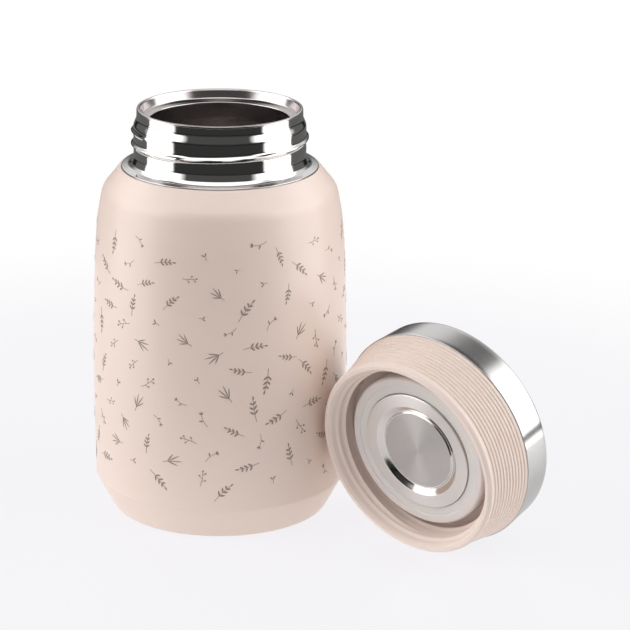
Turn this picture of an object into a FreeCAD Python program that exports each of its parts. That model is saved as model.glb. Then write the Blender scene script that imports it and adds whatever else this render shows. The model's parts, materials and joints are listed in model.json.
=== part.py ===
"""Insulated food jar: a double-walled steel jar with a screw lid lying on its side beside it.

The origin is the centre of the jar's base and +Z is up. Sizes are millimetres and degrees.
Every piece is a turned or drawn ring, so each one is a half section, turned about its own
Z axis. The pieces of the lid are drawn in the lid's own frame, whose z = 0 is the plane of
the lid's lip and whose +Z points to the lid's top. One placement then lays the lid down.
"""
import FreeCAD, Part
import math
import os
import Sketcher

# Driving dimensions: (name, value, what it is). Each is written once.
DIMENSIONS = [
    ("belly_radius", 45.0, "widest part of the wall"),
    ("shell_wall", 0.8, "steel of the outer shell"),
    ("crease_inset", 0.4, "how far the crease above the foot lies inside the belly"),
    ("foot_inset", 5.9, "how far the sloping foot draws in from the crease"),
    ("base_edge", 0.6, "small bevel round the bottom edge"),
    ("crease_height", 11.8, "height of the crease above the foot"),
    ("belly_rise", 22.2, "from the crease up to the belly"),
    ("belly_length", 28.0, "straight part of the belly"),
    ("waist_rise", 30.0, "from the belly up to where the wall curves in"),
    ("waist_inset", 0.9, "how far the wall has drawn in there"),
    ("knee_rise", 24.6, "from there up to the shoulder's knee"),
    ("knee_inset", 2.9, "how far the wall draws in on that stretch"),
    ("shoulder_curve", 130.0, "radius of the inward curve below the shoulder"),
    ("shoulder_rise", 8.0, "height of the sloping shoulder"),
    ("neck_root_radius", 30.1, "neck between the threads"),
    ("neck_wall", 0.6, "steel of the neck"),
    ("ledge_width", 4.6, "polished ring between the neck and the painted edge"),
    ("neck_foot_height", 1.5, "height of the curve where the neck meets the shoulder"),
    ("neck_bulge", 0.8, "soft swelling at the foot of the neck"),
    ("neck_foot_curve", 5.15, "radius of the curve at the foot of the neck"),
    ("neck_length", 14.4, "from the painted edge up to where the neck draws in"),
    ("neck_draw", 1.1, "how far the neck draws in under the rim"),
    ("neck_draw_rise", 2.6, "height over which it draws in"),
    ("neck_tip_length", 2.6, "straight part under the rim"),
    ("thread_pitch", 4.5, "climb of the thread in one turn"),
    ("neck_thread_rise", 1.0, "height of the rolled thread above the neck"),
    ("neck_thread_width", 2.4, "width of the rolled thread at its foot"),
    ("neck_thread_start", 5.6, "from the painted edge up to the start of the thread"),
    ("neck_thread_turns", 1.6, "turns of the rolled thread"),
    ("rim_thickness", 0.8, "height of the rolled rim"),
    ("rim_inset", 0.1, "how far the rim's edge lies inside the neck's tip"),
    ("liner_wall", 0.6, "steel of the inner liner"),
    ("mouth_taper", 0.8, "how far the mouth wall draws in on its way down"),
    ("mouth_depth", 3.3, "depth of the mouth wall"),
    ("seat_width", 2.4, "width of the seat for the seal"),
    ("seat_drop", 0.8, "fall of the seat from its outer to its inner edge"),
    ("liner_neck_length", 5.0, "straight neck of the liner under the seat"),
    ("neck_vacuum", 1.7, "gap between liner and neck at the foot of the neck"),
    ("belly_vacuum", 4.2, "gap between liner and shell at the belly"),
    ("throat_rise", 1.9, "from the painted edge up to the liner's throat"),
    ("liner_shoulder_drop", 4.1, "from the shoulder's knee down to the liner's shoulder"),
    ("floor_vacuum", 4.4, "gap between the base plate and the liner"),
    ("liner_corner", 7.0, "slope round the liner's floor"),
    ("base_skirt", 3.6, "height of the base plate's skirt"),
    ("base_wall", 0.8, "steel of the base plate"),
    ("base_step", 0.2, "how far the base plate sits above the ground"),
    ("evacuation_hole", 1.5, "radius of the hole that the jar was emptied through"),
    ("cover_inset", 0.7, "underside of the base cover above the base plate's edge"),
    ("cover_wall", 0.5, "steel of the base cover"),
    ("cover_fit", 0.12, "clearance between the base cover and the skirt"),
    ("bead_flange", 1.7, "how far the sealing bead reaches over the hole's edge"),
    ("bead_height", 0.9, "height of the sealing bead below the plate"),
    ("getter_rim", 3.9, "width of the getter's ring"),
    ("getter_height", 2.2, "height of the getter's ring"),
    ("foil_thickness", 0.3, "wrapped foil round the liner"),
    ("foil_margin", 3.0, "liner left bare above and below the foil"),
    ("thread_play", 0.6, "clearance between the neck's thread and the lid's bore"),
    ("lid_thickness", 4.3, "from the lid's bore out to the collar"),
    ("collar_height", 2.2, "height of the smooth collar"),
    ("collar_step", 0.5, "how far the ribbed skirt starts inside the collar"),
    ("lip_round", 1.1, "rounding of the lip's outer edge"),
    ("lip_width", 2.0, "flat of the lip"),
    ("lead_width", 0.9, "width of the lead-in at the end of the bore"),
    ("lead_depth", 2.6, "depth of the lead-in"),
    ("rib_pitch", 1.26, "spacing of the ribs"),
    ("rib_depth", 0.4, "depth of the grooves between ribs"),
    ("rib_offset", 1.3, "from the collar up to the first groove"),
    ("skirt_border", 1.4, "smooth border between the last groove and the steel cap"),
    ("skirt_ledge", 0.3, "how far the steel cap stands out from the skirt's wide end"),
    ("lid_thread_rise", 0.9, "height of the moulded thread"),
    ("lid_thread_width", 2.0, "width of the moulded thread at its foot"),
    ("lid_thread_start", 2.4, "from the lead-in up to the start of the moulded thread"),
    ("lid_thread_turns", 1.3, "turns of the moulded thread"),
    ("plug_reach", 5.3, "how far the plug cup stands down from the deck"),
    ("deck_thickness", 1.8, "thickness of the lid's deck"),
    ("deck_inset", 4.0, "from the deck's top up to the wall behind the steel cap"),
    ("band_step", 3.2, "how far the steel cap stands out from the collar"),
    ("band_taper", 0.7, "how far the cap's skirt draws in towards its top"),
    ("band_height", 12.0, "height of the steel cap"),
    ("cap_wall", 0.5, "steel of the cap"),
    ("cap_edge", 1.0, "rounding of the cap's top edge"),
    ("lid_wall", 1.8, "plastic behind the steel cap"),
    ("cap_gap", 0.15, "clearance between the plastic and the cap's skirt"),
    ("glue_thickness", 0.4, "glue under the cap's top"),
    ("glue_width", 4.0, "width of the glue ring"),
    ("foam_gap", 0.2, "clearance round the foam discs"),
    ("plug_wall", 1.4, "plastic of the plug cup"),
    ("plate_margin", 4.4, "from the face plate's edge out to the plug cup's edge"),
    ("plate_rise", 1.85, "how far the face plate stands out from the plug cup"),
    ("plate_wall", 0.6, "steel of the face plate"),
    ("plate_flat", 4.7, "width of the face plate's flat ring"),
    ("bevel_width", 2.6, "width of the polished bevel"),
    ("disc_depth", 0.8, "how far the centre disc lies behind the plate's front"),
    ("seal_wall", 1.8, "silicone round the plug cup"),
    ("seal_rise", 1.55, "how far the seal's face stands out from the plug cup"),
    ("seal_step", 0.35, "step in the seal's face"),
    ("seal_step_inset", 1.1, "from that step out to the plug cup's edge"),
    ("seal_skirt", 4.6, "how far the seal reaches along the plug cup"),
    ("seal_fit", 0.12, "clearance between the seal and what it sits on"),
    ("lid_gap", 3.2, "from the jar's belly to the lid's lip, seen from above"),
    ("lid_bearing", -39.72, "direction from the jar to the lid's lip, seen from above"),
    ("lid_azimuth", 50.4, "direction that the lid's top points to, seen from above"),
]

# Grooves round the lid's skirt.
GROOVES = 11

# The pieces that stay upright; all others belong to the lid.
JAR = ["outer_shell", "neck_ring", "inner_liner", "outer_base", "base_cover", "sealing_bead",
       "getter", "radiation_foil"]


class Sizes:
    """Holds every dimension by its name."""


class Size:
    """A number together with the spreadsheet formula that gives it."""

    def __init__(self, value, text):
        self.value = value
        self.text = text

    def joined(self, other, sign, value):
        text = other.text if isinstance(other, Size) else str(other)
        return Size(value, "(%s %s %s)" % (self.text, sign, text))

    def __add__(self, other):
        return self.joined(other, "+", self.value + number(other))

    def __sub__(self, other):
        return self.joined(other, "-", self.value - number(other))

    def __mul__(self, other):
        return self.joined(other, "*", self.value * number(other))

    def __truediv__(self, other):
        return self.joined(other, "/", self.value / number(other))


def number(size):
    return size.value if isinstance(size, Size) else float(size)


def make_sheet(doc):
    """The spreadsheet of driving dimensions, and the same names as Size objects."""
    sheet = doc.addObject("Spreadsheet::Sheet", "Sizes")
    sizes = Sizes()
    for row, (name, value, meaning) in enumerate(DIMENSIONS, start=1):
        sheet.set("A%d" % row, meaning)
        sheet.set("B%d" % row, str(value))
        sheet.setAlias("B%d" % row, name)
        setattr(sizes, name, Size(float(value), "Sizes." + name))
    doc.recompute()
    return sizes


def derive(d):
    """Radii and heights that follow from the driving dimensions, each from its neighbour."""
    d.crease_radius = d.belly_radius - d.crease_inset
    d.foot_radius = d.crease_radius - d.foot_inset
    d.base_radius = d.foot_radius - d.base_edge
    d.belly_low = d.crease_height + d.belly_rise
    d.belly_high = d.belly_low + d.belly_length
    d.waist_radius = d.belly_radius - d.waist_inset
    d.waist_height = d.belly_high + d.waist_rise
    d.knee_radius = d.waist_radius - d.knee_inset
    d.knee_height = d.waist_height + d.knee_rise
    d.shoulder_top_radius = d.neck_root_radius + d.ledge_width
    d.shoulder_top_height = d.knee_height + d.shoulder_rise
    d.neck_bulge_radius = d.neck_root_radius + d.neck_bulge
    d.neck_taper_height = d.shoulder_top_height + d.neck_length
    d.neck_tip_radius = d.neck_root_radius - d.neck_draw
    d.neck_tip_height = d.neck_taper_height + d.neck_draw_rise
    d.rim_low = d.neck_tip_height + d.neck_tip_length
    d.rim_height = d.rim_low + d.rim_thickness
    d.rim_radius = d.neck_tip_radius - d.rim_inset
    d.mouth_radius = d.neck_tip_radius - d.neck_wall - d.liner_wall
    d.seat_radius = d.mouth_radius - d.mouth_taper
    d.ledge_radius = d.seat_radius - d.seat_width
    d.liner_throat_radius = d.neck_root_radius - d.neck_wall - d.neck_vacuum - d.liner_wall
    d.liner_throat_height = d.shoulder_top_height + d.throat_rise
    d.liner_radius = d.belly_radius - d.shell_wall - d.belly_vacuum - d.liner_wall
    d.liner_shoulder_height = d.knee_height - d.liner_shoulder_drop
    d.base_top = d.base_step + d.base_skirt
    d.liner_floor = d.base_top + d.floor_vacuum + d.liner_wall
    d.lid_bore = d.neck_root_radius + d.neck_thread_rise + d.thread_play
    d.collar_radius = d.lid_bore + d.lid_thickness
    d.lead_radius = d.lid_bore + d.lead_width
    d.skirt_radius = d.collar_radius - d.collar_step
    d.rib_start = d.collar_height + d.rib_offset
    d.band_start = d.rib_start + d.rib_pitch * (GROOVES - 1) + d.skirt_border
    d.band_radius = d.collar_radius + d.band_step
    d.skirt_low = d.collar_height + d.collar_step / 2
    d.skirt_top_radius = d.band_radius - d.skirt_ledge
    d.band_top_radius = d.band_radius - d.band_taper
    d.lid_height = d.band_start + d.band_height
    d.deck_height = d.band_start + d.lid_wall - d.deck_thickness - d.deck_inset
    d.plug_face = d.deck_height - d.plug_reach
    d.seal_radius = d.mouth_radius
    d.plug_radius = d.seal_radius - d.seal_wall
    d.plate_radius = d.plug_radius - d.plate_margin
    d.plate_height = d.plug_face - d.plate_rise
    d.bevel_radius = d.plate_radius - d.plate_flat
    d.disc_radius = d.bevel_radius - d.bevel_width
    d.seal_height = d.plug_face - d.seal_rise
    d.seal_step_radius = d.plug_radius - d.seal_step_inset


doc = FreeCAD.newDocument("FoodJar")
d = make_sheet(doc)
derive(d)
pieces = {}


def new_body(name):
    body = doc.addObject("PartDesign::Body", name)
    body.Label = name
    pieces[name] = body
    return body


def plane(body, role):
    return next(f for f in body.Origin.OriginFeatures if f.Role == role)


def half_section(body, name, corners, arcs=None):
    """A closed half section in the body's XZ plane: corners are (radius, height) pairs.

    arcs maps the number of a side to (radius, side of the chord that the centre lies on).
    The side that starts at corner k has the number k. Every corner's place and every arc's
    radius is bound to the spreadsheet.
    """
    arcs = arcs or {}
    sketch = body.newObject("Sketcher::SketchObject", name)
    sketch.AttachmentSupport = [(plane(body, "XZ_Plane"), "")]
    sketch.MapMode = "FlatFace"
    places = [FreeCAD.Vector(number(r), number(z), 0) for r, z in corners]
    count = len(corners)
    for k in range(count):
        start = places[k]
        end = places[(k + 1) % count]
        if k in arcs:
            sketch.addGeometry(arc_between(start, end, number(arcs[k][0]), arcs[k][1]), False)
        else:
            sketch.addGeometry(Part.LineSegment(start, end), False)
    starts = []
    ends = []
    for k in range(count):
        flipped = k in arcs and (sketch.Geometry[k].StartPoint - places[k]).Length > 1e-6
        starts.append(2 if flipped else 1)
        ends.append(1 if flipped else 2)
    for k in range(count):
        following = (k + 1) % count
        sketch.addConstraint(Sketcher.Constraint("Coincident", k, ends[k], following, starts[following]))
    for k, (radius, height) in enumerate(corners):
        pin(sketch, "DistanceX", k, starts[k], radius, -2)
        pin(sketch, "DistanceY", k, starts[k], height, -1)
    for k, (radius, side) in arcs.items():
        index = sketch.addConstraint(Sketcher.Constraint("Radius", k, number(radius)))
        bind(sketch, index, radius)
    return sketch


def pin(sketch, kind, edge, point, size, axis):
    """Holds one coordinate of a point: on the axis where it is 0, else at a distance."""
    if number(size) == 0:
        sketch.addConstraint(Sketcher.Constraint("PointOnObject", edge, point, axis))
        return
    index = sketch.addConstraint(Sketcher.Constraint(kind, -1, 1, edge, point, number(size)))
    bind(sketch, index, size)


def bind(sketch, index, size):
    if isinstance(size, Size):
        sketch.setExpression("Constraints[%d]" % index, size.text)


def arc_between(start, end, radius, side):
    """The short arc from start to end; side is +1 or -1, the side of the chord of its centre."""
    middle = (start + end) * 0.5
    chord = end - start
    normal = FreeCAD.Vector(-chord.y, chord.x, 0).normalize() * side
    centre = middle + normal * math.sqrt(radius ** 2 - (chord.Length / 2) ** 2)
    first = math.atan2(start.y - centre.y, start.x - centre.x)
    last = math.atan2(end.y - centre.y, end.x - centre.x)
    if side < 0:
        first, last = last, first
    if last < first:
        last += 2 * math.pi
    circle = Part.Circle(centre, FreeCAD.Vector(0, 0, 1), radius)
    return Part.ArcOfCircle(circle, first, last)


def turned(name, corners, arcs=None):
    """A body made by turning a half section about Z."""
    body = new_body(name)
    sketch = half_section(body, name + "_section", corners, arcs)
    turn = body.newObject("PartDesign::Revolution", name + "_turned")
    turn.Profile = sketch
    turn.ReferenceAxis = (sketch, ["V_Axis"])
    turn.Angle = 360
    sketch.Visibility = False
    return body


def thread(body, name, root, middle, width, rise, turns, inward):
    """A thread ridge: a rounded section carried along a helix about Z."""
    buried = d.neck_wall / 3
    if inward:
        crest = root - rise
        foot = root + buried
    else:
        crest = root + rise
        foot = root - buried
    corners = [(foot, middle - width / 2), (crest, middle - width / 6),
               (crest, middle + width / 6), (foot, middle + width / 2)]
    sketch = half_section(body, name + "_section", corners)
    helix = body.newObject("PartDesign::AdditiveHelix", name)
    helix.Profile = sketch
    helix.ReferenceAxis = (sketch, ["V_Axis"])
    helix.Mode = "pitch-turns-angle"
    helix.setExpression("Pitch", d.thread_pitch.text)
    helix.setExpression("Turns", turns.text)
    sketch.Visibility = False
    body.Tip = helix


def outer_shell():
    """The painted shell: sloping foot, slightly bowed wall and shoulder, open at both ends."""
    w = d.shell_wall
    corners = [
        (d.base_radius, 0),
        (d.foot_radius, d.base_edge),
        (d.crease_radius, d.crease_height),
        (d.belly_radius, d.belly_low),
        (d.belly_radius, d.belly_high),
        (d.waist_radius, d.waist_height),
        (d.knee_radius, d.knee_height),
        (d.shoulder_top_radius, d.shoulder_top_height),
        (d.shoulder_top_radius - w * 0.6, d.shoulder_top_height - w * 0.8),
        (d.knee_radius - w, d.knee_height - w * 0.4),
        (d.waist_radius - w, d.waist_height),
        (d.belly_radius - w, d.belly_high),
        (d.belly_radius - w, d.belly_low),
        (d.crease_radius - w, d.crease_height + w * 0.3),
        (d.base_radius - w, d.base_edge * 2),
        (d.base_radius - w, 0),
    ]
    arcs = {5: (d.shoulder_curve, 1), 9: (d.shoulder_curve, -1)}
    turned("outer_shell", corners, arcs)


def neck_ring():
    """The polished neck: a drawn ring with a rolled thread, welded into the shoulder."""
    w = d.neck_wall
    foot = d.shoulder_top_height + d.neck_foot_height
    corners = [
        (d.shoulder_top_radius - w, d.shoulder_top_height - w * 0.4),
        (d.shoulder_top_radius - w * 0.5, d.shoulder_top_height),
        (d.neck_bulge_radius, foot),
        (d.neck_root_radius, foot + w * 4),
        (d.neck_root_radius, d.neck_taper_height),
        (d.neck_tip_radius, d.neck_tip_height),
        (d.neck_tip_radius, d.rim_low),
        (d.neck_tip_radius - w, d.rim_low),
        (d.neck_tip_radius - w, d.neck_tip_height),
        (d.neck_root_radius - w, d.neck_taper_height - w * 0.5),
        (d.neck_root_radius - w, foot - w * 0.5),
    ]
    arcs = {1: (d.neck_foot_curve, 1)}
    body = turned("neck_ring", corners, arcs)
    start = d.shoulder_top_height + d.neck_thread_start
    thread(body, "neck_thread", d.neck_root_radius, start, d.neck_thread_width,
           d.neck_thread_rise, d.neck_thread_turns, inward=False)


def inner_liner():
    """The liner: rolled rim, mouth wall, seat for the seal, short neck, wide belly and floor."""
    w = d.liner_wall
    seat = d.rim_height - d.mouth_depth
    ledge = seat - d.seat_drop
    neck_end = ledge - d.liner_neck_length
    soft = d.rim_thickness * 0.4
    corners = [
        (0, d.liner_floor - w),
        (d.liner_radius - d.liner_corner + w, d.liner_floor - w),
        (d.liner_radius + w, d.liner_floor + d.liner_corner - w),
        (d.liner_radius + w, d.liner_shoulder_height),
        (d.liner_throat_radius + w, d.liner_throat_height),
        (d.ledge_radius + w, neck_end),
        (d.ledge_radius + w, ledge - w),
        (d.seat_radius + w, seat - w),
        (d.mouth_radius + w, d.rim_low),
        (d.rim_radius, d.rim_low),
        (d.rim_radius, d.rim_height - soft),
        (d.rim_radius - soft, d.rim_height),
        (d.mouth_radius + soft, d.rim_height),
        (d.mouth_radius, d.rim_height - soft),
        (d.seat_radius, seat),
        (d.ledge_radius, ledge),
        (d.ledge_radius, neck_end),
        (d.liner_throat_radius, d.liner_throat_height),
        (d.liner_radius, d.liner_shoulder_height),
        (d.liner_radius, d.liner_floor + d.liner_corner),
        (d.liner_radius - d.liner_corner, d.liner_floor),
        (0, d.liner_floor),
    ]
    turned("inner_liner", corners)


def base_pieces():
    """The base plate, its sealing bead, the cover over it and the getter inside the vacuum."""
    w = d.base_wall
    outer = d.base_radius - d.shell_wall
    top = d.base_top
    under = top - w
    hole = d.evacuation_hole
    turned("outer_base", [
        (outer - w, d.base_step), (outer, d.base_step), (outer, top),
        (hole, top), (hole, under), (outer - w, under)])
    rim = outer - w - d.cover_fit
    low = d.base_step + d.cover_inset
    turned("base_cover", [
        (0, low), (rim, low), (rim, under), (rim - d.cover_wall, under),
        (rim - d.cover_wall, low + d.cover_wall), (0, low + d.cover_wall)])
    turned("sealing_bead", [
        (0, under - d.bead_height), (hole, under - d.bead_height),
        (hole + d.bead_flange, under), (hole, under), (hole, top), (0, top)])
    bore = hole + d.cover_wall
    turned("getter", [
        (bore, top), (bore + d.getter_rim, top),
        (bore + d.getter_rim, top + d.getter_height), (bore, top + d.getter_height)])


def radiation_foil():
    """Thin foil wrapped round the liner, inside the vacuum."""
    inner = d.liner_radius + d.liner_wall
    low = d.liner_floor + d.liner_corner + d.foil_margin
    high = d.liner_shoulder_height - d.foil_margin
    turned("radiation_foil", [
        (inner, low), (inner + d.foil_thickness, low),
        (inner + d.foil_thickness, high), (inner, high)])


def skirt_at(height, depth=0):
    """A corner on the lid's widening skirt, or depth below its surface."""
    share = (height - d.skirt_low) / (d.band_start - d.skirt_low)
    return (d.skirt_radius + (d.skirt_top_radius - d.skirt_radius) * share - depth, height)


def skirt_grooves():
    """The corners of the grooves that leave the ribs between them."""
    corners = []
    for k in range(GROOVES):
        middle = d.rib_start + d.rib_pitch * k
        corners += [skirt_at(middle - d.rib_pitch * 0.26),
                    skirt_at(middle - d.rib_pitch * 0.1, d.rib_depth),
                    skirt_at(middle + d.rib_pitch * 0.1, d.rib_depth),
                    skirt_at(middle + d.rib_pitch * 0.26)]
    return corners


def lid_shell():
    """The plastic lid: lip and collar, ribbed skirt, deck, and the wall behind the steel cap."""
    deck_top = d.deck_height + d.deck_thickness
    outer_low = d.band_radius - d.cap_wall - d.cap_gap
    outer_high = d.band_top_radius - d.cap_wall - d.cap_gap
    wall_top = d.lid_height - d.cap_wall - d.glue_thickness
    shelf = d.band_start
    inner = outer_high - d.lid_wall
    corners = [
        (d.collar_radius - d.lip_round, 0),
        (d.collar_radius, d.lip_round),
        (d.collar_radius, d.collar_height),
        (d.skirt_radius, d.skirt_low),
        *skirt_grooves(),
        (d.skirt_top_radius, shelf),
        (outer_low, shelf),
        (outer_high, wall_top - d.cap_edge),
        (outer_high - d.cap_edge, wall_top),
        (inner, wall_top),
        (inner, shelf + d.lid_wall),
        (d.skirt_radius - d.lid_wall, shelf + d.lid_wall),
        (d.skirt_radius - d.lid_wall, deck_top),
        (0, deck_top),
        (0, d.deck_height),
        (d.lid_bore, d.deck_height),
        (d.lid_bore, d.lead_depth + d.lead_width),
        (d.lead_radius, d.lead_depth),
        (d.collar_radius - d.lip_round - d.lip_width, 0),
    ]
    body = turned("lid_shell", corners, {0: (d.lip_round, 1)})
    doc.recompute()
    thread(body, "lid_thread", d.lid_bore, d.lead_depth + d.lid_thread_start, d.lid_thread_width,
           d.lid_thread_rise, d.lid_thread_turns, inward=True)


def steel_cap():
    """The brushed steel cap over the top of the lid."""
    w = d.cap_wall
    corners = [
        (d.band_radius, d.band_start),
        (d.band_top_radius, d.lid_height - d.cap_edge),
        (d.band_top_radius - d.cap_edge, d.lid_height),
        (0, d.lid_height),
        (0, d.lid_height - w),
        (d.band_top_radius - d.cap_edge - w * 0.4, d.lid_height - w),
        (d.band_top_radius - w, d.lid_height - d.cap_edge - w * 0.4),
        (d.band_radius - w, d.band_start),
    ]
    turned("steel_cap", corners, {1: (d.cap_edge, 1)})


def lid_fillings():
    """The glue ring under the cap's top and the foam discs in the lid and in its plug."""
    deck_top = d.deck_height + d.deck_thickness
    inner = d.band_top_radius - d.cap_wall - d.cap_gap - d.lid_wall
    glue_top = d.lid_height - d.cap_wall
    glue_low = glue_top - d.glue_thickness
    glue_outer = d.band_top_radius - d.cap_wall - d.cap_gap - d.cap_edge
    turned("cap_adhesive", [
        (glue_outer - d.glue_width, glue_low), (glue_outer, glue_low),
        (glue_outer, glue_top), (glue_outer - d.glue_width, glue_top)])
    step = d.band_start + d.lid_wall + d.foam_gap
    low = d.skirt_radius - d.lid_wall - d.foam_gap
    turned("lid_insulation", [
        (0, deck_top), (low, deck_top), (low, step), (inner - d.foam_gap, step),
        (inner - d.foam_gap, glue_low - d.foam_gap), (0, glue_low - d.foam_gap)])
    inside = d.plug_radius - d.plug_wall
    turned("plug_insulation", [
        (0, d.plug_face + d.plug_wall), (inside - d.foam_gap, d.plug_face + d.plug_wall),
        (inside - d.foam_gap, d.deck_height), (0, d.deck_height)])


def plug_pieces():
    """The plug under the deck: plastic cup, steel face plate and silicone seal."""
    w = d.plug_wall
    turned("plug_cup", [
        (0, d.plug_face), (d.plug_radius, d.plug_face), (d.plug_radius, d.deck_height),
        (d.plug_radius - w, d.deck_height), (d.plug_radius - w, d.plug_face + w),
        (0, d.plug_face + w)])
    t = d.plate_wall
    front = d.plate_height
    back = front + t
    turned("plug_plate", [
        (0, front + d.disc_depth), (d.disc_radius, front + d.disc_depth),
        (d.bevel_radius, front), (d.plate_radius - t * 0.5, front),
        (d.plate_radius, front + t * 0.5), (d.plate_radius, d.plug_face),
        (d.plate_radius - t, d.plug_face), (d.plate_radius - t, back),
        (d.bevel_radius + t * 0.3, back), (d.disc_radius + t * 0.3, back + d.disc_depth),
        (0, back + d.disc_depth)])
    c = d.seal_fit
    face = d.seal_height
    end = d.plug_face + d.seal_skirt
    turned("plug_seal", [
        (d.plate_radius + c, face + d.seal_step), (d.seal_step_radius - d.seal_step, face + d.seal_step),
        (d.seal_step_radius, face), (d.seal_radius - d.seal_step, face),
        (d.seal_radius, face + d.seal_step), (d.seal_radius, end), (d.plug_radius + c, end),
        (d.plug_radius + c, d.plug_face - c), (d.plate_radius + c, d.plug_face - c)])


def lay_the_lid_down():
    """Places every piece of the lid: on its side, standing on its lip and its steel cap's edge."""
    lean = "atan(%s / %s)" % (d.band_step.text, (d.band_start - d.lip_round).text)
    height = "%s * cos(%s) - Sizes.lip_round * sin(%s)" % (d.collar_radius.text, lean, lean)
    reach = (d.belly_radius + d.collar_radius + d.lid_gap).text
    east = "%s * cos(Sizes.lid_bearing * 1 deg)" % reach
    north = "%s * sin(Sizes.lid_bearing * 1 deg)" % reach
    turn = "rotation(Sizes.lid_azimuth * 1 deg; 90 deg - %s; 0 deg)" % lean
    placement = "placement(vector(%s; %s; %s); %s)" % (east, north, height, turn)
    for name, body in pieces.items():
        if name not in JAR:
            body.setExpression("Placement", placement)


outer_shell()
neck_ring()
inner_liner()
base_pieces()
radiation_foil()
lid_shell()
steel_cap()
lid_fillings()
plug_pieces()
lay_the_lid_down()
doc.recompute()

for item in doc.Objects:
    if "Invalid" in item.State or "Error" in item.State:
        raise RuntimeError("%s failed to build: %s" % (item.Label, item.State))

os.makedirs("parts", exist_ok=True)
for name, body in pieces.items():
    shape = body.Shape
    if shape.isNull() or not shape.isValid() or len(shape.Solids) != 1:
        raise RuntimeError("%s is not one valid solid" % name)
    shape.exportStep("parts/%s.step" % name)
    box = shape.BoundBox
    print("%-16s volume %9.1f  z %7.2f to %7.2f" % (name, shape.Volume, box.ZMin, box.ZMax))
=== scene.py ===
# %% [markdown]
# # An insulated food jar
# This notebook dresses a wide-mouthed vacuum jar: a steel body with a cream, printed coat, a
# mirror-bright threaded neck, and a plastic screw lid with a brushed steel cap that stands on
# its side beside the jar. The construction comes in as a fixed frame of simple solids. Each
# piece that shows is drawn again here as a finer surface in the same place, and given a finish.

# %% Load the frame
import bmesh
import bpy
import json
import math
import numpy as np
from mathutils import Matrix, Vector


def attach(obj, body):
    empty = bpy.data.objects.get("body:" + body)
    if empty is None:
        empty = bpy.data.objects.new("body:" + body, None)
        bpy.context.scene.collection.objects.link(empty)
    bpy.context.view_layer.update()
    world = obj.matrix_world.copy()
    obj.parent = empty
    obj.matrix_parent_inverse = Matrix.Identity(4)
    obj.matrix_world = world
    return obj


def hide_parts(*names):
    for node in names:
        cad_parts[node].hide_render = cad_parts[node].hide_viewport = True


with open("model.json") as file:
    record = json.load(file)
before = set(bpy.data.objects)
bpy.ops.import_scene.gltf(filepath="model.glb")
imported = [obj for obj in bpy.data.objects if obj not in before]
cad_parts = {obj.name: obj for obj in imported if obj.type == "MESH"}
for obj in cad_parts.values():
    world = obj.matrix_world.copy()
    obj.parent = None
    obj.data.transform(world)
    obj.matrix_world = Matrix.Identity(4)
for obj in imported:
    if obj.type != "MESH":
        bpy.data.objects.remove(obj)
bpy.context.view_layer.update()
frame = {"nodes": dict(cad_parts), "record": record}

# %% [markdown]
# ## The camera
# The photograph is taken with a long lens from about a metre away, looking down by some
# eighteen degrees. A camera could be placed by eye until it looks right. This one is built from
# numbers fitted to the outlines of the jar and the lid, so that it sees them in the same
# perspective: the pitch and the small roll give the three axes of its turning matrix.

# %% Camera
LENS_MM = 160.0
SENSOR_MM = 36.0
CAMERA_PITCH = 0.3098
CAMERA_ROLL = 0.0091
CAMERA_PLACE = Vector((0.03366, -0.94770, 0.37284))


def camera_matrix(place, pitch, roll):
    """The columns are the picture's right, its up and the way back to the viewer."""
    right = Vector((1, 0, 0))
    up = Vector((0, math.sin(pitch), math.cos(pitch)))
    back = Vector((0, -math.cos(pitch), math.sin(pitch)))
    turned_right = right * math.cos(roll) + up * math.sin(roll)
    turned_up = up * math.cos(roll) - right * math.sin(roll)
    turn = Matrix((turned_right, turned_up, back)).transposed().to_4x4()
    return Matrix.Translation(place) @ turn


lens = bpy.data.cameras.new("camera")
lens.lens = LENS_MM
lens.sensor_width = SENSOR_MM
camera = bpy.data.objects.new("camera", lens)
bpy.context.collection.objects.link(camera)
camera.matrix_world = camera_matrix(CAMERA_PLACE, CAMERA_PITCH, CAMERA_ROLL)
bpy.context.scene.camera = camera
bpy.context.scene.view_settings.view_transform = "Standard"
print("camera looks down by", round(math.degrees(CAMERA_PITCH), 1), "degrees")

# %% [markdown]
# ## Profiles with rounded corners
# Every piece is a turned part, so its shape is one outline, spun about an axis. The outline is
# given by its few corners, each with a rounding radius, and this helper turns each corner into
# a short arc that touches both sides. A Bevel modifier could round the edges later, but on a
# turned part they all differ. Sizes are written in millimetres, as on a drawing.

# %% Rounded profile
MM = 0.001
ARC_STEPS = 7


def rounded(corners, closed=True):
    """Corner k is (radius, height, rounding). A rounded corner becomes the arc whose tangent
    points lie rounding * tan(half the turn) from the corner, along both of its sides."""
    points = np.array([c[:2] for c in corners], float)
    rounding = np.array([c[2] for c in corners], float)
    count = len(points)
    out = []
    for k in range(count):
        at = points[k]
        if rounding[k] == 0 or (not closed and k in (0, count - 1)):
            out.append(at[None])
            continue
        before = points[k - 1] - at
        after = points[(k + 1) % count] - at
        a = before / np.linalg.norm(before)
        b = after / np.linalg.norm(after)
        half_turn = (math.pi - math.acos(np.clip(a @ b, -1, 1))) / 2
        reach = rounding[k] * math.tan(half_turn)
        centre = at + (a + b) / np.linalg.norm(a + b) * rounding[k] / math.cos(half_turn)
        start = at + a * reach - centre
        end = at + b * reach - centre
        share = np.linspace(0, 1, ARC_STEPS)[:, None]
        angle = 2 * half_turn
        arc = (np.sin((1 - share) * angle) * start + np.sin(share * angle) * end) / math.sin(angle)
        out.append(centre + arc)
    return np.concatenate(out)


def divided(profile, longest):
    """Adds points along the long sides of a profile, so that no side is longer than longest."""
    pieces = []
    for here, there in zip(profile[:-1], profile[1:]):
        steps = max(1, math.ceil(np.linalg.norm(there - here) / longest))
        pieces.append(here + (there - here) * np.arange(steps)[:, None] / steps)
    pieces.append(profile[-1:])
    return np.concatenate(pieces)


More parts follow.
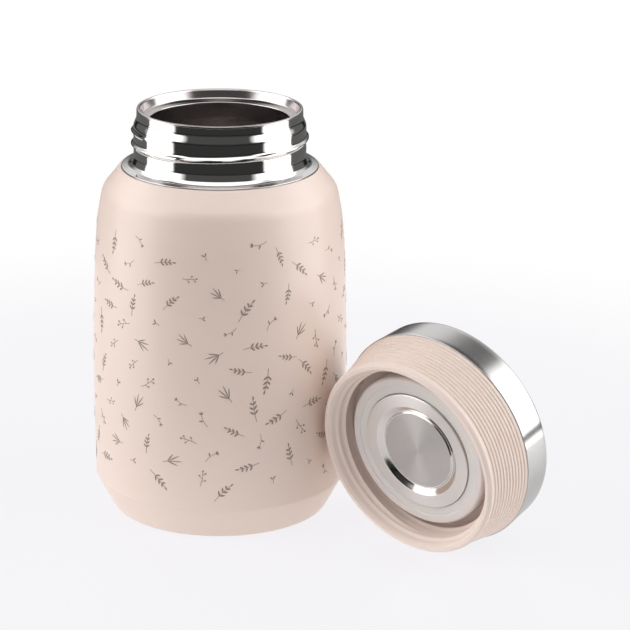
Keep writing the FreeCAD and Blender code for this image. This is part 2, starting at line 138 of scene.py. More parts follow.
# %% [markdown]
# ## From a profile to a grid
# The turned surface is a grid: one direction runs along the profile, the other round the axis.
# Blender's Spin tool could make it, but as arrays the same grid can also carry a thread. A
# ring, such as a seal, closes on itself both ways. A disc, such as a cap, starts and ends on
# the axis, where its first and last rows become poles.

# %% Turned surface
ROUND_STEPS = 192


def grid_faces(rows, columns, closed_rows):
    """Four-sided faces between neighbouring rows and columns; the columns always close."""
    i = np.arange(rows if closed_rows else rows - 1)[:, None]
    j = np.arange(columns)[None, :]
    i_next = (i + 1) % rows
    j_next = (j + 1) % columns
    quads = [i * columns + j, i * columns + j_next,
             i_next * columns + j_next, i_next * columns + j]
    return np.stack([np.broadcast_to(q, (len(i), columns)) for q in quads], -1).reshape(-1, 4)


def signed_volume(points, faces):
    """Six times the volume inside the faces; it is negative if they point inwards."""
    a, b, c, d = (points[faces[:, k]] for k in range(4))
    return np.einsum("ij,ij->", a, np.cross(b, c)) + np.einsum("ij,ij->", a, np.cross(c, d))


def turned(name, profile, ring=True, lift=None, place=None):
    """The surface x = r cos(a), y = r sin(a), z = height, for each point of the profile and
    each angle a. lift(a, profile) is added to r, for threads. place is the piece's own frame."""
    angle = np.linspace(0, 2 * math.pi, ROUND_STEPS, endpoint=False)[None, :]
    radius = profile[:, :1] + (lift(angle, profile) if lift else 0 * angle)
    height = profile[:, 1:] + 0 * angle
    points = np.stack([radius * np.cos(angle), radius * np.sin(angle), height], -1)
    points = points.reshape(-1, 3) * MM
    faces = grid_faces(len(profile), ROUND_STEPS, ring)
    if signed_volume(points, faces) < 0:
        faces = faces[:, ::-1]
    return finished_mesh(name, points, faces, round_map(profile, faces), place)


def round_map(profile, faces):
    """The map of the faces' corners: u is the share of the way round, v the share of the way
    along the profile. A face that closes the round has u = 1 on its far side, not 0."""
    along = np.concatenate([[0], np.cumsum(np.linalg.norm(np.diff(profile, axis=0), axis=1))])
    row = faces // ROUND_STEPS
    column = faces % ROUND_STEPS
    wraps = (column.max(1) - column.min(1) > 1)[:, None] & (column == 0)
    u = (column + ROUND_STEPS * wraps) / ROUND_STEPS
    v = along[row] / along[-1]
    return np.stack([u, v], -1).reshape(-1, 2)


# %% [markdown]
# ## From a grid to a piece
# The arrays are put into a mesh in one go each. The points that meet on the axis are joined, so
# that a disc has one pole and no open seam. Smooth shading hides the grid's steps, and only the
# edges that turn by more than a set angle stay crisp.

# %% Finished mesh
SHARP_DEGREES = 35


def finished_mesh(name, points, faces, uv, place):
    """A piece with the points, faces and map given, moved as a whole by the matrix place."""
    mesh = bpy.data.meshes.new(name)
    mesh.from_pydata(points.tolist(), [], faces.tolist())
    layer = mesh.uv_layers.new(name="round")
    layer.data.foreach_set("uv", uv.astype(np.float32).ravel())
    merge_poles(mesh)
    if place is not None:
        mesh.transform(place)
    mesh.shade_smooth()
    mesh.set_sharp_from_angle(angle=math.radians(SHARP_DEGREES))
    piece = bpy.data.objects.new(name, mesh)
    bpy.context.collection.objects.link(piece)
    print(name, len(mesh.polygons), "faces")
    return piece


def merge_poles(mesh):
    """Joins the points that lie on one spot, as at the two ends of a disc's profile."""
    work = bmesh.new()
    work.from_mesh(mesh)
    bmesh.ops.remove_doubles(work, verts=work.verts, dist=1e-7)
    bmesh.ops.dissolve_degenerate(work, edges=work.edges, dist=1e-8)
    work.to_mesh(mesh)
    work.free()


# %% [markdown]
# ## Shader maths as Python
# A material is a small program. This class wraps a socket of the node tree, so that an
# expression such as `1 - mask * 0.3` adds the nodes that work it out. Any other node comes
# from one method that takes the node's type, its settings and its inputs.

# %% Socket class
class Signal:
    """One output socket, with arithmetic."""

    def __init__(self, paint, socket):
        self.paint = paint
        self.socket = socket

    def maths(self, operation, *values):
        """A Math node with the values, signals or numbers, in its sockets from the top."""
        return self.paint.node("ShaderNodeMath", {"operation": operation}, dict(enumerate(values)))

    def __add__(self, other):
        return self.maths("ADD", self, other)

    def __sub__(self, other):
        return self.maths("SUBTRACT", self, other)

    def __rsub__(self, other):
        return self.maths("SUBTRACT", other, self)

    def __mul__(self, other):
        return self.maths("MULTIPLY", self, other)

    def __truediv__(self, other):
        return self.maths("DIVIDE", self, other)

    __radd__ = __add__
    __rmul__ = __mul__


# %% [markdown]
# ## A node tree to paint with
# Nodes could be added and wired one by one, which takes several lines each. Here one method
# adds a node, sets it and links it, and a few short ones stand for what is used most.

# %% Paint class
def colour(r, g, b):
    """A colour as Blender's sockets take it, with full cover as its fourth number."""
    return (r, g, b, 1.0)


class Paint:
    """A node tree with a method that adds one node and returns its output as a Signal."""

    def __init__(self, tree):
        self.tree = tree
        self.tree.nodes.clear()

    def node(self, kind, settings=None, inputs=None, output=0):
        """Adds a node. Its settings come first, because they can change its sockets. Each input
        is a signal, which is linked, or a value, and output says which output to return."""
        made = self.tree.nodes.new(kind)
        for key, value in (settings or {}).items():
            setattr(made, key, value)
        for key, value in (inputs or {}).items():
            socket = made.inputs[key]
            if isinstance(value, Signal):
                self.tree.links.new(value.socket, socket)
            else:
                socket.default_value = value
        return Signal(self, made.outputs[output]) if made.outputs else None

    def ramp(self, factor, stops, smooth=True):
        """A colour ramp; each stop is (place, value), where value is one number for grey."""
        made = self.tree.nodes.new("ShaderNodeValToRGB")
        made.color_ramp.interpolation = "EASE" if smooth else "LINEAR"
        while len(made.color_ramp.elements) < len(stops):
            made.color_ramp.elements.new(0.5)
        for element, (place, value) in zip(made.color_ramp.elements, stops):
            element.position = place
            element.color = (value, value, value, 1)
        self.tree.links.new(factor.socket, made.inputs["Fac"])
        return Signal(self, made.outputs["Color"])

    def bands(self, factor, places, values):
        """A ramp with straight flanks that has one value at each place."""
        return self.ramp(factor, list(zip(places, values)), smooth=False)

    def blend(self, factor, first, second):
        """Mixes two colours, each of them a signal or three numbers."""
        first, second = (side if isinstance(side, Signal) else colour(*side)
                         for side in (first, second))
        return self.node("ShaderNodeMix", {"data_type": "RGBA"},
                         {"Factor": factor, 6: first, 7: second}, output=2)

    def part(self, vector, index):
        """One coordinate of a vector: 0 is x, 1 is y and 2 is z."""
        return self.node("ShaderNodeSeparateXYZ", {}, {"Vector": vector}, output=index)

    def glow(self, rgb, strength=1.0):
        """A surface that gives off light."""
        return self.node("ShaderNodeEmission", {}, {"Color": colour(*rgb), "Strength": strength})

    def over(self, factor, under, upper):
        """One surface over another, where factor says how much the upper one covers."""
        return self.node("ShaderNodeMixShader", {}, {0: factor, 1: under, 2: upper})


# %% [markdown]
# ## A material from a recipe
# Each finish is a function that adds its nodes and says what they feed. What is the same all
# over a surface is set as a plain number on the shader, so that it outlives an export.

# %% Material
def material(name, build, **plain):
    """A material whose main shader has the plain values given and what build links to it."""
    made = bpy.data.materials.new(name)
    made.use_nodes = True
    paint = Paint(made.node_tree)
    values = {key.replace("_", " "): value for key, value in plain.items()}
    shader = paint.node("ShaderNodeBsdfPrincipled", {}, {**values, **build(paint)})
    paint.node("ShaderNodeOutputMaterial", {}, {"Surface": shader})
    print("finish", name)
    return made


# %% [markdown]
# ## The cream coat
# The body is powder coated: a satin skin over steel, with the faintest orange-peel ripple and
# a very slight unevenness of tone. A photograph of such a coat could be wrapped round it, but
# two noises at different scales give both without a seam. The ripple is only about a hundredth
# of a millimetre, so it breaks up the reflections and no more. The lid's plastic is alike.

# %% Coat and moulded plastic
CREAM = (0.79, 0.645, 0.575)
CREAM_WARM = (0.775, 0.625, 0.55)
PLASTIC = (0.82, 0.69, 0.625)
PLASTIC_WARM = (0.805, 0.67, 0.60)
MICRON = 0.000001


def noise(paint, scale, detail=2.0):
    """A soft random pattern that is fixed to the piece, with about scale blobs to the metre."""
    place = paint.node("ShaderNodeTexCoord", output="Object")
    return paint.node("ShaderNodeTexNoise", {}, {
        "Vector": place, "Scale": scale, "Detail": detail})


def bump(paint, height, microns):
    """Tilts the shading as if the pattern stood out by so many thousandths of a millimetre."""
    return paint.node("ShaderNodeBump", {}, {"Height": height, "Distance": microns * MICRON})


def coat(paint):
    """Two close creams mixed by a coarse noise, with a ripple of 12 microns."""
    return {
        "Base Color": paint.blend(noise(paint, 35.0), CREAM, CREAM_WARM),
        "Roughness": 0.30 + 0.06 * noise(paint, 120.0),
        "Normal": bump(paint, noise(paint, 900.0, detail=1.0), 12),
    }


def moulding(paint):
    """A paler cream than the coat, duller, with the fine grain of a mould."""
    return {
        "Base Color": paint.blend(noise(paint, 60.0), PLASTIC, PLASTIC_WARM),
        "Roughness": 0.42 + 0.08 * noise(paint, 300.0),
        "Normal": bump(paint, noise(paint, 1600.0), 10),
    }


cream_coat = material("cream_coat", coat, Specular_IOR_Level=0.65)
cream_plastic = material("cream_plastic", moulding, Specular_IOR_Level=0.4, Subsurface_Weight=0.02,
                         Subsurface_Scale=0.001)

# %% [markdown]
# ## Polished and satin steel
# The neck is polished to a mirror, so nearly all that it shows is the studio round it: its
# shape and the light matter more than its colour. The liner is satin, and its colour is paler
# in the belly than at the mouth, where the darker colour is painted shade on the same steel.
# It could have two materials with a hard line between them. Instead a ramp on the height fades
# from one to the other, so that no line shows.

# %% Polished and satin steel
STEEL = (0.62, 0.605, 0.595)
SATIN_BELLY = (0.72, 0.67, 0.665)
# The mouth's colour is painted shade: the liner's own steel darkened towards the mouth.
SATIN_MOUTH_SHADE = (0.49, 0.455, 0.45)
MOUTH_START = 0.132
MOUTH_FULL = 0.138
MOUTH_SPAN = 0.2


def polished(paint):
    """Nearly a mirror: roughness 0.045, and a trace more where the noise is high."""
    return {
        "Base Color": colour(*STEEL),
        "Roughness": 0.045 + 0.05 * noise(paint, 140.0, detail=3.0),
        "Normal": bump(paint, noise(paint, 260.0), 10),
    }


def satin(paint):
    """Matt low down in the jar, smoother above the mouth's height and darker there: painted shade.
    """
    height = paint.part(paint.node("ShaderNodeTexCoord", output="Object"), 2)
    mouth = paint.ramp(height / MOUTH_SPAN, [(MOUTH_START / MOUTH_SPAN, 0.0),
                                             (MOUTH_FULL / MOUTH_SPAN, 1.0)])
    return {
        "Base Color": paint.blend(mouth, SATIN_BELLY, SATIN_MOUTH_SHADE),
        "Roughness": 0.30 + 0.08 * noise(paint, 200.0) - mouth * 0.16,
        "Normal": bump(paint, noise(paint, 700.0), 10),
    }


mirror_steel = material("mirror_steel", polished, Metallic=1.0)
satin_steel = material("satin_steel", satin, Metallic=1.0)

# %% [markdown]
# ## Brushed steel
# The cap and the face plate are brushed in circles, so their highlights stretch across the
# scratches. Real scratches are too fine to draw one by one, so the stretch is the shader's
# anisotropy, and the drawn lines only vary it. The surfaces' own map runs round the axis, so
# its tangent lies along the scratches, and a quarter turn puts the stretch across them. The
# plate's bevel is polished: a ramp on the map's second direction finds it along the profile.

# %% Brushed steel
SCRATCHES = (14.0, 900.0, 1.0)
BRUSHED_DARK = (0.53, 0.52, 0.515)
BRUSHED_LIGHT = (0.66, 0.645, 0.64)
# The disc's darker colour is painted shade on the same brushed steel as the ring.
PLATE_DISC_SHADE = (0.50, 0.475, 0.47)
PLATE_RING = (0.72, 0.68, 0.66)
BEVEL = (0.298, 0.374)
BEVEL_EDGE = 0.004
STRETCH = 0.85
QUARTER_TURN = 0.25


def brushed(paint):
    """Lines along the first direction of the piece's own map, which runs round it."""
    stretched = paint.node("ShaderNodeVectorMath", {"operation": "MULTIPLY"}, {
        0: paint.node("ShaderNodeUVMap", {"uv_map": "round"}), 1: SCRATCHES})
    lines = paint.node("ShaderNodeTexNoise", {}, {
        "Vector": stretched, "Scale": 1.0, "Detail": 3.0, "Roughness": 0.65})
    tangent = paint.node("ShaderNodeTangent", {"direction_type": "UV_MAP", "uv_map": "round"})
    return {
        "Base Color": paint.blend(lines, BRUSHED_DARK, BRUSHED_LIGHT),
        "Roughness": 0.11 + 0.12 * lines,
        "Normal": bump(paint, lines, 8),
        "Tangent": tangent,
    }


def plate_finish(paint):
    """Brushed, with a polished bevel between a disc darkened as painted shade and a lighter ring.
    """
    place = paint.part(paint.node("ShaderNodeUVMap", {"uv_map": "round"}), 1)
    inner, outer = BEVEL
    flat = paint.bands(place, (inner, inner + BEVEL_EDGE, outer - BEVEL_EDGE, outer),
                       (1.0, 0.0, 0.0, 1.0))
    outside = paint.bands(place, (inner - BEVEL_EDGE, inner), (0.0, 1.0))
    links = brushed(paint)
    links["Base Color"] = paint.blend(outside, PLATE_DISC_SHADE, PLATE_RING)
    links["Roughness"] = 0.07 + flat * (0.20 + 0.10 * noise(paint, 400.0))
    return links


brushed_steel = material("brushed_steel", brushed, Metallic=1.0, Anisotropic=STRETCH,
                         Anisotropic_Rotation=QUARTER_TURN)
plate_steel = material("plate_steel", plate_finish, Metallic=1.0, Anisotropic=STRETCH,
                       Anisotropic_Rotation=QUARTER_TURN)

# %% [markdown]
# ## Silicone and ink
# The seal is whitish silicone, soft enough to let a little light through, with a dull skin.
# The print is a taupe ink that lies on the coat as a thin film. It could be a picture on the
# coat's colour, but as a piece of its own its edges stay sharp however near the camera comes.

# %% Silicone and ink
SILICONE = (0.66, 0.60, 0.575)
SILICONE_PALE = (0.70, 0.645, 0.62)
INK = (0.245, 0.185, 0.160)
INK_PALE = (0.315, 0.250, 0.220)


def rubbery(paint):
    """Two greyish whites mixed by a noise, dull, with a fine grain."""
    return {
        "Base Color": paint.blend(noise(paint, 90.0), SILICONE, SILICONE_PALE),
        "Roughness": 0.36 + 0.08 * noise(paint, 400.0),
        "Normal": bump(paint, noise(paint, 1200.0), 8),
    }


def printed(paint):
    """Taupe that is a little thinner in places."""
    return {
        "Base Color": paint.blend(noise(paint, 500.0), INK, INK_PALE),
        "Roughness": 0.40 + 0.06 * noise(paint, 300.0),
    }


silicone = material("silicone", rubbery, Subsurface_Weight=0.25, Subsurface_Scale=0.003)
ink = material("taupe_ink", printed)


# %% [markdown]
# ## The body
# The shell is spun from one steel tube: a sloping foot with a crisp crease, a wall that bows
# out by less than a millimetre, and a shoulder that turns in to the neck. A cylinder with
# bevelled edges would miss the bow, so the wall's corners get very large rounding radii. The
# profile goes up the outside and down the inside, and the wall has its real thickness.

# %% Body shell
SHELL_WALL = 0.8
LONGEST_SIDE = 3.0
SHELL_CORNERS = [
    (37.3, 0.0, 0.0),
    (38.15, 0.0, 0.7),
    (38.9, 1.0, 0.8),
    (44.6, 11.8, 2.2),
    (45.02, 34.0, 120.0),
    (45.0, 62.0, 260.0),
    (44.1, 92.0, 160.0),
    (43.1, 106.0, 60.0),
    (41.2, 116.6, 9.0),
    (34.75, 124.55, 0.45),
    (34.2, 123.9, 0.0),
]
WALL_FACED = [(41.2, 116.2), (44.1, 92.0), (45.0, 62.0), (45.0, 34.0), (44.6, 12.0)]
FOOT_INSIDE = (37.3, 1.3)


def shell_profile():
    """The outside from the foot to the neck, then the inside, one wall thickness further in."""
    outside = rounded(SHELL_CORNERS, closed=False)
    inside = [(radius - SHELL_WALL, height) for radius, height in WALL_FACED] + [FOOT_INSIDE]
    return np.concatenate([divided(outside, LONGEST_SIDE), np.array(inside)])


def outside_radius(height):
    """The wall's outer radius at a height, read from the profile between foot and shoulder."""
    outside = rounded(SHELL_CORNERS, closed=False)
    return np.interp(height, outside[:, 1], outside[:, 0])


body_skin = turned("body_skin", shell_profile())
body_skin.data.materials.append(cream_coat)
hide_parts("outer_shell")
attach(body_skin, "jar")

# %% [markdown]
# ## The thread
# The thread is rolled into the sheet from inside: a smooth swelling that climbs as it goes
# round and fades out at both ends. It could be a tube swept along a helix and joined to the
# neck, but a rolled thread has no seam. On the grid it is a bell-shaped lift of the radius,
# centred on a height that rises with the angle, and the same sum is used for each turn.

# %% Thread
PITCH = 4.5
THREAD_START = 130.2
THREAD_RISE = 0.95
THREAD_WIDTH = 0.7
THREAD_TURNS = 1.6
THREAD_FADE = 0.10


def thread_lift(angle, profile, start, rise, turns):
    """rise * exp(-(distance / width)^2), where distance is the height above the thread's middle
    on each turn, times a fade over the first and last part of the thread's length."""
    height = profile[:, 1:]
    lift = 0 * height * angle
    for turn in range(math.ceil(turns)):
        run = angle / (2 * math.pi) + turn
        middle = start + PITCH * run
        fade = np.clip(run / THREAD_FADE, 0, 1) * np.clip((turns - run) / THREAD_FADE, 0, 1)
        bell = np.exp(-((height - middle) / THREAD_WIDTH) ** 2)
        lift = np.maximum(lift, rise * fade * bell)
    return lift


# %% [markdown]
# ## The neck
# The neck is a short tube welded to the shoulder: a polished ledge, a soft swelling at its
# foot, a straight wall that carries the thread, and a slight draw under the rim. The thread
# needs a fine grid, so the outside is divided into steps of less than a third of a millimetre.

# %% Neck
FINE_STEP = 0.3
NECK_OUTSIDE = [
    (34.35, 124.35, 0.0),
    (34.6, 124.62, 0.2),
    (31.9, 124.95, 1.2),
    (30.9, 126.2, 1.0),
    (30.1, 128.4, 2.0),
    (30.1, 139.0, 3.0),
    (29.0, 141.6, 3.0),
    (29.0, 144.2, 0.0),
]
NECK_INSIDE = [(28.4, 144.2), (28.4, 141.6), (29.5, 138.7), (29.5, 125.8), (31.4, 124.3)]
neck_outside = divided(rounded(NECK_OUTSIDE, closed=False), FINE_STEP)


def neck_lift(angle, profile):
    """The thread stands out of the outside only, which is the first part of the profile."""
    outside = np.arange(len(profile))[:, None] < len(neck_outside)
    return thread_lift(angle, profile, THREAD_START, THREAD_RISE, THREAD_TURNS) * outside


neck = turned("neck", np.concatenate([neck_outside, np.array(NECK_INSIDE)]), lift=neck_lift)
neck.data.materials.append(mirror_steel)
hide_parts("neck_ring")
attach(neck, "jar")

# %% [markdown]
# ## The liner
# The inner bottle is one deep-drawn piece. Its rim is rolled over the neck's edge, the mouth
# wall leads down to a sloping seat for the seal, and below a short neck it widens to the belly.
# A bowl just deep enough for this picture would do, but a view from above looks to the floor.

# %% Liner
LINER = [
    (0.0, 8.8, 0.0), (32.4, 8.8, 4.0), (39.4, 15.8, 4.0), (39.4, 112.5, 8.0),
    (27.2, 126.5, 5.0), (24.6, 135.9, 1.5), (24.6, 140.9, 0.5), (27.0, 141.7, 0.9),
    (27.8, 144.4, 0.3), (28.15, 145.02, 0.25), (28.85, 144.85, 0.3), (28.9, 144.2, 0.1),
    (28.4, 144.2, 0.0), (27.6, 141.1, 0.0), (25.2, 140.3, 0.0), (25.2, 135.9, 0.0),
    (27.8, 126.5, 0.0), (40.0, 112.5, 0.0), (40.0, 15.2, 0.0), (33.0, 8.2, 0.0), (0.0, 8.2, 0.0),
]
liner = turned("liner", rounded(LINER, closed=False), ring=False)
liner.data.materials.append(satin_steel)
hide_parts("inner_liner")
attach(liner, "jar")

# %% [markdown]
# ## The lid's own frame
# The lid is drawn upright, with the plane of its lip at height 0, and then laid down as a
# whole. It could be drawn lying down, but then every number would be turned with it. Its axis
# and its centre are read from the joint that it turns on, so it lies exactly where the
# construction has it.

# %% Lid frame
turn_joint = next(j for j in frame["record"]["behaviour"]["joints"] if j["name"] == "lid_turn")
lid_axis = Vector(turn_joint["axis"]).normalized()
lid_azimuth = math.atan2(lid_axis.y, lid_axis.x)
lid_lean = math.asin(lid_axis.z)
LID_PLACE = (Matrix.Translation(Vector(turn_joint["pos_m"]))
             @ Matrix.Rotation(lid_azimuth, 4, "Z")
             @ Matrix.Rotation(math.pi / 2 - lid_lean, 4, "Y"))
print("the lid leans back by", round(math.degrees(lid_lean), 1), "degrees")

# %% [markdown]
# ## The plastic lid
# The lid is one moulding: a rounded lip, a smooth collar, a skirt that widens towards the
# steel cap with eleven fine grooves for grip, and inside it the moulded thread. The grooves
# could be a bump in the material, but they show in the lid's outline. They repeat, so a loop
# writes their corners along the slope of the skirt.

# %% Grooves of the skirt
RIB_COUNT = 11
RIB_START = 3.0
RIB_PITCH = 1.3
RIB_DEPTH = 0.42
RIB_SHAPE = ((-0.34, 0.0, 0.16), (-0.1, 1.0, 0.12), (0.1, 1.0, 0.12), (0.34, 0.0, 0.16))
SKIRT = ((35.6, 2.1), (38.9, 17.5))


def rib_corners():
    """Each groove has a crest, two roots and a crest, given as the distance from its middle,
    the share of its depth and the rounding. The crests' radius grows evenly with the height."""
    radii, heights = zip(*SKIRT)
    corners = []
    for k in range(RIB_COUNT):
        for reach, share, rounding in RIB_SHAPE:
            height = RIB_START + k * RIB_PITCH + reach
            crest = np.interp(height, heights, radii)
            corners.append((crest - share * RIB_DEPTH, height, rounding))
    return corners


print("grooves", RIB_COUNT, "corners", len(rib_corners()))

# %% [markdown]
# The rest of the moulding is one closed profile: from the middle of the deck's underside down
# the threaded bore, round the lip, up the skirt and back over the deck. The lid's thread is
# the neck's own sum with its sign turned, so that it stands into the bore.

# %% Lid moulding
LID_BORE = 31.7
LID_THREAD_START = 5.0
LID_THREAD_RISE = 1.05
LID_THREAD_TURNS = 1.3
LID_THREAD_TOP = 13.0
ON_BORE = 0.05
LID_INSIDE = [(0.0, 13.5, 0.0), (LID_BORE, 13.5, 0.8), (LID_BORE, 3.4, 0.5), (32.5, 2.5, 0.6),
              (33.0, 1.0, 0.8), (33.8, 0.0, 0.6)]
LID_OUTSIDE = [(33.8, 0.0, 0.6), (35.0, 0.0, 0.6), (35.95, 1.0, 0.8), (35.85, 2.0, 0.3),
               (*SKIRT[0], 0.1)]
LID_TOP = [(*SKIRT[1], 0.2), (38.55, 17.5, 0.0), (37.85, 27.6, 0.0), (36.85, 28.6, 0.0),
           (36.05, 28.6, 0.0), (36.05, 19.3, 0.0), (33.7, 19.3, 0.0), (33.7, 15.3, 0.0),
           (0.0, 15.3, 0.0)]


def lid_lift(angle, profile):
    """The swelling of the neck's thread, pointing inwards, on the points of the bore."""
    on_bore = (np.abs(profile[:, :1] - LID_BORE) < ON_BORE) & (profile[:, 1:] < LID_THREAD_TOP)
    return -1.0 * on_bore * thread_lift(angle, profile, LID_THREAD_START, LID_THREAD_RISE,
                                        LID_THREAD_TURNS)


lid_inside = divided(rounded(LID_INSIDE, closed=False), FINE_STEP)
lid_outside = rounded(LID_OUTSIDE + rib_corners() + LID_TOP, closed=False)
lid_profile = np.concatenate([lid_inside, lid_outside[1:]])
lid_moulding = turned("lid_moulding", lid_profile, ring=False, lift=lid_lift, place=LID_PLACE)
lid_moulding.data.materials.append(cream_plastic)
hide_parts("lid_shell")
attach(lid_moulding, "lid")

# %% [markdown]
# ## The steel cap
# A drawn cup of thin steel goes over the top of the lid. Its skirt is a little wider at the
# bottom, and its edge is rounded. It could be one sheet given a Solidify modifier, but the
# profile holds both sides of the sheet, so the edge keeps the shape that the picture shows.

# %% Steel cap
CAP_STEP = 2.0
CAP = [
    (0.0, 29.5, 0.0), (38.5, 29.5, 1.0), (39.2, 17.5, 0.15), (38.7, 17.5, 0.1),
    (38.0, 28.9, 0.4), (0.0, 29.0, 0.0),
]
cap_profile = divided(rounded(CAP, closed=False), CAP_STEP)
cap = turned("cap_skin", cap_profile, ring=False, place=LID_PLACE)
cap.data.materials.append(brushed_steel)
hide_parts("steel_cap")
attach(cap, "lid")

# %% [markdown]
# ## The plug
# Under the lid's deck sits the plug: a cream cup, a steel plate with a polished bevel round a
# sunken disc, and the seal, a soft ring with a step in its face. The bevel's bright and black
# arcs could be painted on. They are left to the shape: it is steep enough to mirror the studio.

# %% Plug plate and seal
PLATE_STEP = 1.2
PLATE = [
    (0.0, 7.15, 0.0), (13.9, 7.15, 0.15), (14.2, 7.05, 0.1), (14.65, 7.7, 0.2), (16.9, 6.4, 0.6),
    (21.4, 6.35, 0.25), (21.6, 6.6, 0.15), (21.6, 8.2, 0.0), (21.0, 8.2, 0.0), (21.0, 6.95, 0.0),
    (17.0, 6.95, 0.0), (15.2, 8.0, 0.0), (13.9, 8.0, 0.0), (13.6, 7.75, 0.0), (0.0, 7.75, 0.0),
]
plate_profile = divided(rounded(PLATE, closed=False), PLATE_STEP)
plate = turned("face_plate", plate_profile, ring=False, place=LID_PLACE)
plate.data.materials.append(plate_steel)
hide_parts("plug_plate")
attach(plate, "lid")

SEAL = [
    (21.75, 7.0, 0.15), (24.5, 7.0, 0.15), (24.9, 6.65, 0.2), (27.2, 6.65, 0.5), (27.8, 7.3, 0.5),
    (27.8, 12.8, 0.3), (26.15, 12.8, 0.1), (26.15, 8.08, 0.0), (21.75, 8.08, 0.0),
]
seal = turned("seal_ring", rounded(SEAL), place=LID_PLACE)
seal.data.materials.append(silicone)
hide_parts("plug_seal")
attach(seal, "seal")

# %% [markdown]
# ## The print
# The coat carries small sprigs in taupe ink. Each motif is drawn flat, in millimetres, from
# three strokes: a leaf, which is a pointed oval; a berry, which is a small round; and a stem,
# a narrow ribbon along a curve. The flat motif is then wrapped round the wall.

# %% Strokes
LEAF_POINTS = 8
STEM_WIDTH = 0.2


def leaf(base, angle, length, width):
    """A pointed oval from base: half width = width/2 * sin(pi * share)^0.8 along its length."""
    half = LEAF_POINTS // 2
    share = np.linspace(0, 1, half + 1)
    side = width / 2 * np.sin(math.pi * share) ** 0.8
    x = np.concatenate([share, share[-2:0:-1]]) * length
    y = np.concatenate([side, -side[-2:0:-1]])
    return np.stack([base[0] + x * math.cos(angle) - y * math.sin(angle),
                     base[1] + x * math.sin(angle) + y * math.cos(angle)], -1)


def berry(centre, radius):
    """A round with six corners: centre + radius * (cos(turn), sin(turn))."""
    turn = np.linspace(0, 2 * math.pi, 7)[:-1]
    return np.stack([centre[0] + radius * np.cos(turn), centre[1] + radius * np.sin(turn)], -1)


def stem(path, width=STEM_WIDTH):
    """Ribbon pieces along a path: each point is moved half the width to either side."""
    path = np.array(path, float)
    run = np.gradient(path, axis=0)
    run /= np.linalg.norm(run, axis=1)[:, None]
    side = np.stack([-run[:, 1], run[:, 0]], -1) * width / 2
    left = path + side
    right = path - side
    return [np.stack([left[k], left[k + 1], right[k + 1], right[k]]) for k in range(len(path) - 1)]


def curve(length, bend, steps=4):
    """A gently bending path that starts at 0, 0 and goes up, while its direction turns evenly by
    bend: the first terms of an arc's cosine give its way sideways, of its sine its way up."""
    share = np.linspace(0, 1, steps + 1)
    sideways = length * bend * share ** 2 / 2
    upward = length * (share - bend ** 2 * share ** 3 / 6)
    return np.stack([sideways, upward], -1)


# %% [markdown]
# Five motifs follow, all common ones: a leafy twig with its leaves in pairs, a berry twig, a
# blade tuft, a seed head on a bent stalk, and a lone sprout of two leaves.

# %% Motifs
def leafy_twig():
    """A bent stem with three pairs of leaves and one at its tip."""
    path = curve(8.5, 0.25)
    shapes = stem(path)
    for share, size in ((0.35, 2.3), (0.58, 2.1), (0.80, 1.7)):
        base = curve(8.5 * share, 0.25 * share)[-1]
        shapes += [leaf(base, math.radians(90 + turn), size, 0.72) for turn in (-48, 44)]
    return shapes + [leaf(path[-1], math.radians(76), 1.8, 0.62)]


def berry_twig():
    """A bent stem with three stalks to its sides, each with a berry."""
    shapes = stem(curve(7.0, -0.35))
    for share, turn, reach in ((0.3, -50, 1.7), (0.5, 55, 1.9), (0.75, -45, 1.4)):
        base = curve(7.0 * share, -0.35 * share)[-1]
        angle = math.radians(95 + turn)
        tip = base + reach * np.array([math.cos(angle), math.sin(angle)])
        shapes += stem([base, tip], 0.16) + [berry(tip, 0.40)]
    return shapes + [berry(curve(7.0, -0.35)[-1], 0.45)]


def blade_tuft():
    """Four narrow leaves that fan out from one short stem."""
    shapes = []
    for turn, length in ((-34, 4.6), (-12, 6.2), (12, 5.8), (36, 4.2)):
        shapes.append(leaf((0, 0), math.radians(90 + turn), length, 0.46))
    return shapes + stem([(0, 0), (0, -1.8)])


def seed_head():
    """A stem that bends over, with one leaf and three seeds at its tip."""
    path = curve(5.4, 0.7)
    tip = path[-1]
    shapes = stem(path, 0.17) + [leaf(path[2], math.radians(125), 1.9, 0.58)]
    return shapes + [leaf(tip, math.radians(50 + turn), 1.5, 0.44) for turn in (-38, 0, 38)]


def sprout():
    """A short stem with two leaves."""
    return stem([(0, 0), (0.1, 1.6)], 0.17) + [leaf((0.1, 1.6), math.radians(a), 1.7, 0.55)
                                               for a in (52, 132)]


# %% [markdown]
# The motifs are scattered evenly but not in rows: each point of a sunflower-like spiral round
# the jar takes a motif drawn at random, with its own turn and size from the same seeded draw.
# Geometry nodes could scatter them too, but wouldn't bend them to the wall. Wrapping uses the
# wall's own radius: distance sideways becomes an angle, and the film stands just proud.

# %% Scatter
PRINT_LOW = 18.5
PRINT_HIGH = 107.5
MOTIF_COUNT = 224
MOTIF_SIZES = (0.72, 0.94)
ANGLE_SHAKE = 0.03
SEED = 12
FILM = 0.06
GOLDEN = 0.381966


def facing_out(shape):
    """Turns the points' order round where the sum x * next y - next x * y is negative, so that
    every stroke runs counter-clockwise and its face looks away from the jar."""
    x, y = shape.T
    area = (x * np.roll(y, -1) - np.roll(x, -1) * y).sum()
    return shape if area > 0 else shape[::-1]


def wrapped(shape, angle, height):
    """x becomes an arc round the axis and y a height; the radius is the wall's at that height."""
    z = height + shape[:, 1]
    r = outside_radius(z) + FILM
    a = angle + shape[:, 0] / r
    return np.stack([r * np.cos(a), r * np.sin(a), z], -1) * MM


